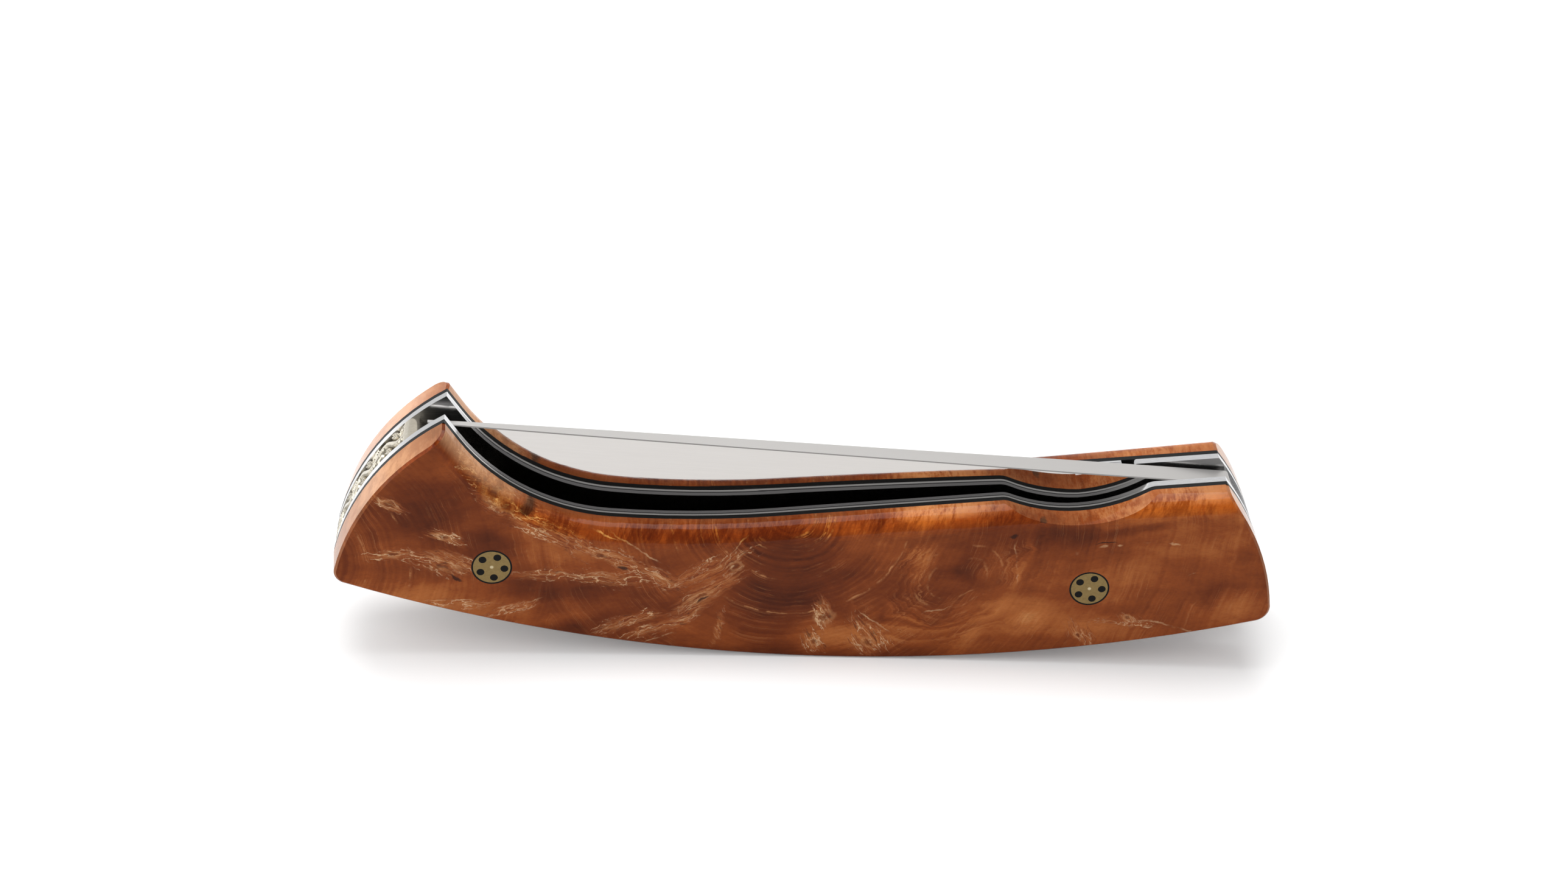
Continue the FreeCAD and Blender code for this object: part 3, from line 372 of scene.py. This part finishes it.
def bladeSteel():
    material, add = newMaterial("mirrorSteel")
    place = millimetres(add)
    satin = add("MapRange", [add("Math", [facing(add).outputs["Y"]], **absolute), 0.75, 0.5], **softStep)
    colour = add("Mix", [streaks(add, place, -3, bladeLook["lines"]), *bladeLook["flat"]], **colours)
    tint = product(add, satin, bladeLook["spineShown"])
    colour = add("Mix", [tint, colour, bladeLook["spine"]], **colours)
    smear = add("TexNoise", {"Vector": place, "Scale": 1 / bladeLook["smear"], "Detail": 3})
    rough = add("Math", [smear, *bladeLook["rough"]], **timesPlus)
    rough = add("Math", [satin, bladeLook["satinRough"], rough], **timesPlus)
    finish(add, {"Base Color": colour, "Metallic": 1, "Roughness": rough})
    return material


# Polished liners: along the grip their eased edge gets a painted reflection, a dark and a bright line across
# it
linerLook = {
    "plain": ("B8B8BA", "D6D6D6"), "lines": (12, 0.08, 0.08), "gripFore": (44, 36), "gripButt": (-47, -42),
    "rough": (0.1, 0.15),
    # painted reflection across the eased edge: grey, then dark, then bright
    "edge": [
        (0, "9A9A9C"), (0.5, "9A9A9C"), (0.56, "3E3E40"), (0.66, "3E3E40"), (0.74, "DADADA"), (1, "DADADA")],
}


def linerSteel():
    material, add = newMaterial("polishedLiner")
    place = millimetres(add)
    apart = add("SeparateXYZ", [place])
    faces = [corner[1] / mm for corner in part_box("rear_liner")]
    layer = add("MapRange", [add("Math", [apart.outputs["Y"]], **absolute), *faces])
    # painted reflection, drawn only along the grip
    paintedReflection = add("ValToRGB", [layer], stops=linerLook["edge"])
    ends = (linerLook["gripFore"], linerLook["gripButt"])
    grip = product(add, *(add("MapRange", [apart.outputs["X"], *end], **softStep) for end in ends))
    lines = streaks(add, place, 0, linerLook["lines"], 3, 0.5)
    plain = add("Mix", [lines, *linerLook["plain"]], **colours)
    colour = add("Mix", [grip, plain, paintedReflection], **colours)
    rough = add("Math", [lines, *linerLook["rough"]], **timesPlus)
    finish(add, {"Base Color": colour, "Metallic": 1, "Roughness": rough})
    return material


# Filed stainless steel: pale polished tops, and painted shade on the ground between the leaves
fileLook = {
    "tops": ("A69E8D", "CDC6B6"), "ground": ("4C463B", "7E7565"), "marks": (0.5, 0.25, 0.25),
    "rough": (0.1, 0.15), "groundRough": 0.25,
}


def filedSteel():
    material, add = newMaterial("filedSteel")
    carve = add("Attribute", attribute_name="carve").outputs["Fac"]
    marks = streaks(add, millimetres(add), 0, fileLook["marks"])
    tops, ground = (add("Mix", [marks, *fileLook[key]], **colours) for key in ("tops", "ground"))
    # painted shade: the deeper the filing, the darker the colour
    colour = add("Mix", [add("MapRange", [carve, 0.1, 0.8], **softStep), tops, ground], **colours)
    rough = add("Math", [marks, *fileLook["rough"]], **timesPlus)
    rough = add("Math", [carve, fileLook["groundRough"], rough], **timesPlus)
    finish(add, {"Base Color": colour, "Metallic": 1, "Roughness": rough})
    return material


# Dulled brass, mottled, with a small bright mark in the middle of each pin
brassLook = {
    "brass": ("665436", "8C784F"), "mottle": 0.35, "mark": "C8BC9C", "markRadius": 0.24, "markShown": 0.7,
    "rough": (0.2, 0.2),
}


def mosaicBrass():
    material, add = newMaterial("dulledBrass")
    place = millimetres(add)
    lumps = {"Vector": place, "Scale": 1 / brassLook["mottle"], "Detail": 4, "Roughness": 0.65}
    lumps = add("TexNoise", lumps)
    colour = add("Mix", [lumps, *brassLook["brass"]], **colours)
    marks = []
    for pin in ("butt_pin", "fore_pin_front"):
        centre = sum(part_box(pin), Vector()) / 2 / mm
        marks.append((centre.x, centre.z, brassLook["markRadius"], brassLook["markRadius"], 0))
    mark = nearest(add, place, marks)
    mark = add("MapRange", [mark, 1.2, 0.6, 0, brassLook["markShown"]], **softStep)
    colour = add("Mix", [mark, colour, brassLook["mark"]], **colours)
    rough = add("Math", [lumps, *brassLook["rough"]], **timesPlus)
    finish(add, {"Base Color": colour, "Metallic": 1, "Roughness": rough})
    return material


# Turned steel and bronze sheet, hidden in the handle: they show fine lines and an uneven gloss
turnedLook = {
    "name": "turnedSteel", "metal": ("8E8E90", "B4B4B6"), "rough": 0.2, "lines": (0.4, 0.1, 0.4), "smear": 7,
}
bronzeLook = {
    "name": "bronzeSheet", "metal": ("8A6236", "B58650"), "rough": 0.25, "lines": (3, 0.2, 0.3), "smear": 7,
}


def linedMetal(look):
    material, add = newMaterial(look["name"])
    place = millimetres(add)
    colour = add("Mix", [streaks(add, place, 0, look["lines"]), *look["metal"]], **colours)
    smear = add("TexNoise", {"Vector": place, "Scale": 1 / look["smear"], "Detail": 3})
    smear = add("Math", [smear, 0.5], **plus)  # now about 1
    rough = product(add, smear, look["rough"])
    finish(add, {"Base Color": colour, "Metallic": 1, "Roughness": rough})
    return material


# Vulcanised fibre, dull on its cut edge, and cast resin, polished with the pins: both look nearly black
fibreLook = {
    "name": "vulcanisedFibre", "black": ("060606", "141414"), "mottle": 0.4, "rough": 0.45, "specular": 0.1,
}
resinLook = {
    "name": "castResin", "black": ("050404", "0C0A09"), "mottle": 1.5, "rough": 0.15, "specular": 0.1,
}


def blackSheet(look):
    material, add = newMaterial(look["name"])
    lumps = {"Vector": millimetres(add), "Scale": 1 / look["mottle"], "Detail": 4, "Roughness": 0.6}
    colour = add("Mix", [add("TexNoise", lumps), *look["black"]], **colours)
    finish(add, {"Base Color": colour, "Roughness": look["rough"], "Specular IOR Level": look["specular"]})
    return material


finishes = {
    "blade_steel": bladeSteel(),
    "liner_steel": linerSteel(),
    "filework_steel": filedSteel(),
    "hardware_steel": linedMetal(turnedLook),
    "washer_bronze": linedMetal(bronzeLook),
    "pin_brass": mosaicBrass(),
    "black_fibre": blackSheet(fibreLook),
    "black_resin": blackSheet(resinLook),
}
scales = {"front_scale": burlWood("frontBurl", frontFigure), "rear_scale": burlWood("rearBurl", rearFigure)}
slotOf = {row["node"]: row["material_slot"] for row in frame["record"]["subparts"]}
for name, node in nodes.items():
    node.data.materials.clear()
    node.data.materials.append(scales.get(name) or finishes[slotOf[name]])
print("finishes set:", len(finishes) + len(scales))

# Filework backspacer: a waving vine with paired leaves, filed into the outer edge (mm)
lowest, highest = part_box("backspacer")
vine = {
    "back": (5.1, 188.4), "backRadius": 188.4, "butt": (-29.44, 6.06), "buttRadius": 32, "cornerRound": 1.8,
    "foreX": highest[0] / mm, "endX": -50.2, "half": highest[1] / mm, "width": 3.4, "endRound": 1.2,
    "step": 0.13, "rows": 34, "margin": 2.6, "wave": 5.6, "swing": 0.95, "stem": 0.42, "ground": 0.9,
    "flank": (-0.12, 0.16), "fade": 0.6, "leaf": (1.25, 0.62), "leafEdge": (0.75, 1.1), "leafTurn": 36,
    "leafOut": 1.3, "leafPair": 0.95, "vein": 0.3, "veinEdge": (0.3, 0.1), "sharpAngle": 50,
    "block": [(-34.9, 7.6), (-40.3, 19.4), (-56.2, 19.4), (-56.2, 13)],
}


def edgeRuns():  # centre, radius and angles of the arcs, from the fore end along the back and up the butt
    back, butt = Vector(vine["back"]), Vector(vine["butt"])
    backReach, buttReach = (vine[key] - vine["cornerRound"] for key in ("backRadius", "buttRadius"))
    gap = back - butt
    along = (buttReach ** 2 - backReach ** 2 + gap.length_squared) / (2 * gap.length)
    across = math.sqrt(buttReach ** 2 - along ** 2)
    corner = butt + gap.normalized() * along + gap.orthogonal().normalized() * across
    low, side = (math.atan2(*(corner - centre).yx) for centre in (back, butt))
    fore = math.asin((vine["foreX"] - back.x) / vine["backRadius"]) - math.pi / 2
    end = math.acos((vine["endX"] - butt.x) / vine["buttRadius"])
    return [(back, vine["backRadius"], fore, low), (corner, vine["cornerRound"], low, side - 2 * math.pi),
            (butt, vine["buttRadius"], side, end)]


def edgePoints():  # point, outward direction and distance along the edge
    points = []
    length = 0
    for centre, radius, first, last in edgeRuns():
        arc = abs(last - first) * radius
        count = round(arc / vine["step"])
        for index in range(count):
            share = (index + 0.5) / count
            angle = first + (last - first) * share
            outward = Vector((math.cos(angle), math.sin(angle)))
            points.append((centre + outward * radius, outward, length + arc * share))
        length += arc
    return points, length


def ease(value, start, end):
    share = min(max((value - start) / (end - start), 0), 1)
    return share * share * (3 - 2 * share)


def carved(run, across, length):  # depth of the filing, 0 on the vine and 1 on the ground between its leaves
    phase = 2 * math.pi * run / vine["wave"]
    lean = math.cos(phase) * vine["swing"] * 2 * math.pi / vine["wave"]
    offset = abs(across - vine["swing"] * math.sin(phase)) / math.hypot(1, lean)
    depth = ease(offset, *(vine["stem"] + flank for flank in vine["flank"]))
    bend = math.floor(run / (vine["wave"] / 2))
    side = 1 if bend % 2 else -1
    for pair in (-1, 1):
        turn = math.radians(vine["leafTurn"]) * pair * side
        dx = run - (bend + 0.5) * vine["wave"] / 2 - vine["leafPair"] * pair
        dy = across - vine["leafOut"] * side
        u = (dx * math.cos(turn) + dy * math.sin(turn)) / vine["leaf"][0]
        v = (dy * math.cos(turn) - dx * math.sin(turn)) / vine["leaf"][1]
        vein = vine["vein"] * ease(abs(v), *vine["veinEdge"])
        depth = min(depth, max(ease(math.hypot(u, v), *vine["leafEdge"]), vein))
    plain = ease(min(run, length - run), vine["margin"] - vine["fade"], vine["margin"])
    return depth * plain


def endInset(left):  # how far the rounded upper end draws in, that close to it
    short = max(vine["endRound"] - left, 0)
    return vine["endRound"] - math.sqrt(vine["endRound"] ** 2 - short ** 2)


def vertsOf(geometry):
    return [item for item in geometry if isinstance(item, bmesh.types.BMVert)]


def fileVine():
    points, length = edgePoints()
    half = vine["half"] * mm
    shape = bmesh.new()
    depthLayer = shape.verts.layers.float.new("carve")
    station = shape.verts.layers.int.new("station")
    middle = (len(points) - 1) / 2  # a flat strip first, one column of faces for each step along the edge
    spread = Matrix.Translation((middle, 0, 0)) @ Matrix.Diagonal((middle, vine["half"], 1, 1))
    bmesh.ops.create_grid(shape, x_segments=len(points) - 1, y_segments=vine["rows"], size=1, matrix=spread)
    for vertex in shape.verts:  # then bent along the edge and carved
        vertex[station] = round(vertex.co.x)
        point, outward, run = points[vertex[station]]
        depth = carved(run, vertex.co.y, length)
        place = point - outward * (depth * vine["ground"] + endInset(length - run))
        vertex.co = (place.x * mm, vertex.co.y * mm, place.y * mm)
        vertex[depthLayer] = depth
    rims = [edge for edge in shape.edges if abs(sum(vertex.co.y for vertex in edge.verts)) > half * 1.999]
    skirt = set(vertsOf(bmesh.ops.extrude_edge_only(shape, edges=rims)["geom"]))
    for vertex in skirt:
        point, outward, run = points[vertex[station]]
        inner = point - outward * vine["width"]
        vertex.co = (inner.x * mm, vertex.co.y, inner.y * mm)
        vertex[depthLayer] = 0
    hem = [edge for edge in shape.edges if set(edge.verts) <= skirt]
    bmesh.ops.bridge_loops(shape, edges=hem)
    bmesh.ops.holes_fill(shape, edges=[edge for edge in shape.edges if edge.is_boundary], sides=0)
    # the block that the butt pin goes through
    corners = [shape.verts.new((x * mm, -half, z * mm)) for x, z in vine["block"]]
    block = bmesh.ops.extrude_face_region(shape, geom=[shape.faces.new(corners)])["geom"]
    bmesh.ops.translate(shape, verts=vertsOf(block), vec=(0, half * 2, 0))
    bmesh.ops.recalc_face_normals(shape, faces=shape.faces)
    shape.verts.layers.int.remove(station)
    mesh = bpy.data.meshes.new("filework")
    shape.to_mesh(mesh)
    shape.free()
    mesh.shade_smooth()
    mesh.set_sharp_from_angle(angle=math.radians(vine["sharpAngle"]))
    return mesh


filework = bpy.data.objects.new("filework", fileVine())
bpy.context.collection.objects.link(filework)
filework.data.materials.append(finishes["filework_steel"])
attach(filework, "handle")
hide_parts("backspacer")
print("filework carved:", len(filework.data.polygons), "faces")

# Camera, as the photograph was taken: angles in degrees, place in mm
shot = {"pitch": 32, "yaw": 4.45, "roll": 3.6, "focalPx": 4817, "imagePx": 2576, "sensor": 36,
        "place": (-28.07, -316.75, 227.48)}
pitch, yaw, roll = (math.radians(shot[key]) for key in ("pitch", "yaw", "roll"))
ahead = Vector((math.sin(yaw) * math.cos(pitch), math.cos(yaw) * math.cos(pitch), -math.sin(pitch)))
level = Vector((math.cos(yaw), -math.sin(yaw), 0))
upright = level.cross(ahead)
right = level * math.cos(roll) + upright * math.sin(roll)
above = upright * math.cos(roll) - level * math.sin(roll)
lens = bpy.data.cameras.new("camera")
lens.sensor_width = shot["sensor"]
lens.lens = shot["focalPx"] / shot["imagePx"] * shot["sensor"]
lens.clip_start = 0.01
camera = bpy.data.objects.new("camera", lens)
camera.matrix_world = Matrix((right, above, -ahead)).transposed().to_4x4()
camera.location = Vector(shot["place"]) * mm
bpy.context.collection.objects.link(camera)
bpy.context.scene.camera = camera
bpy.context.scene.view_settings.view_transform = "Standard"
print("camera placed")

# White paper: a glow burns it out away from the knife, and a glow that only the camera sees keeps its shadow
# pale (mm)
paper = {
    "size": 4000, "colour": "E8E8E8", "white": "FFFFFF", "burntFrom": 70, "burntAt": 170, "glow": 0.4,
    "lift": 0.14,
}
bpy.ops.mesh.primitive_plane_add(size=paper["size"] * mm)
floor = bpy.context.object
floor.name = "floor"
whitePaper, add = newMaterial("whitePaper")
path = add("LightPath")
away = add("VectorMath", [millimetres(add)], operation="LENGTH")
burnt = add("MapRange", [away, paper["burntFrom"], paper["burntAt"], 0, paper["glow"]], **softStep)
# a glow that only the camera sees, which lightens the shadow
burnt = add("Math", [path.outputs["Is Camera Ray"], paper["lift"], burnt], **timesPlus)
lit = add("BsdfDiffuse", [paper["colour"]])
both = add("AddShader", [lit, add("Emission", [paper["white"], burnt])])
seen = add("Math", [path.outputs["Is Camera Ray"], path.outputs["Is Glossy Ray"]], operation="MAXIMUM")
add("OutputMaterial", [add("MixShader", [seen, lit, both])])
floor.data.materials.append(whitePaper)

# Plain soft light; metal sees a white room that is dimmer behind the camera
studio = {"white": "FFFFFF", "ambient": 0.54, "behindCamera": 0.48, "behindKnife": 0.93, "turn": (-0.4, 0.6)}
world = bpy.data.worlds.new("studio")
bpy.context.scene.world = world
world.use_nodes = True
world.node_tree.nodes.clear()
add = partial(addNode, world.node_tree)
path = add("LightPath")
aim = add("SeparateXYZ", [add("TexCoord").outputs["Generated"]])
room = [aim.outputs["Y"], *studio["turn"], studio["behindCamera"], studio["behindKnife"]]
light = add("Mix", [path.outputs["Is Glossy Ray"], studio["ambient"], add("MapRange", room, **softStep)])
light = add("Mix", [path.outputs["Is Camera Ray"], light, 1])
add("OutputWorld", [add("Background", [studio["white"], light])])

lamps = [
    {"name": "top", "place": (-0.05, 0.15, 0.6), "size": 0.5, "power": 3.4},
    {"name": "left", "place": (-0.5, -0.2, 0.38), "size": 0.6, "power": 2.5},
]
for row in lamps:
    lampData = bpy.data.lights.new(row["name"], "AREA")
    lampData.size = row["size"]
    lampData.energy = row["power"]
    lamp = bpy.data.objects.new(row["name"], lampData)
    lamp.location = row["place"]
    lamp.rotation_euler = Vector(row["place"]).to_track_quat("Z", "Y").to_euler()
    bpy.context.collection.objects.link(lamp)
print("light set:", len(lamps), "lamps")
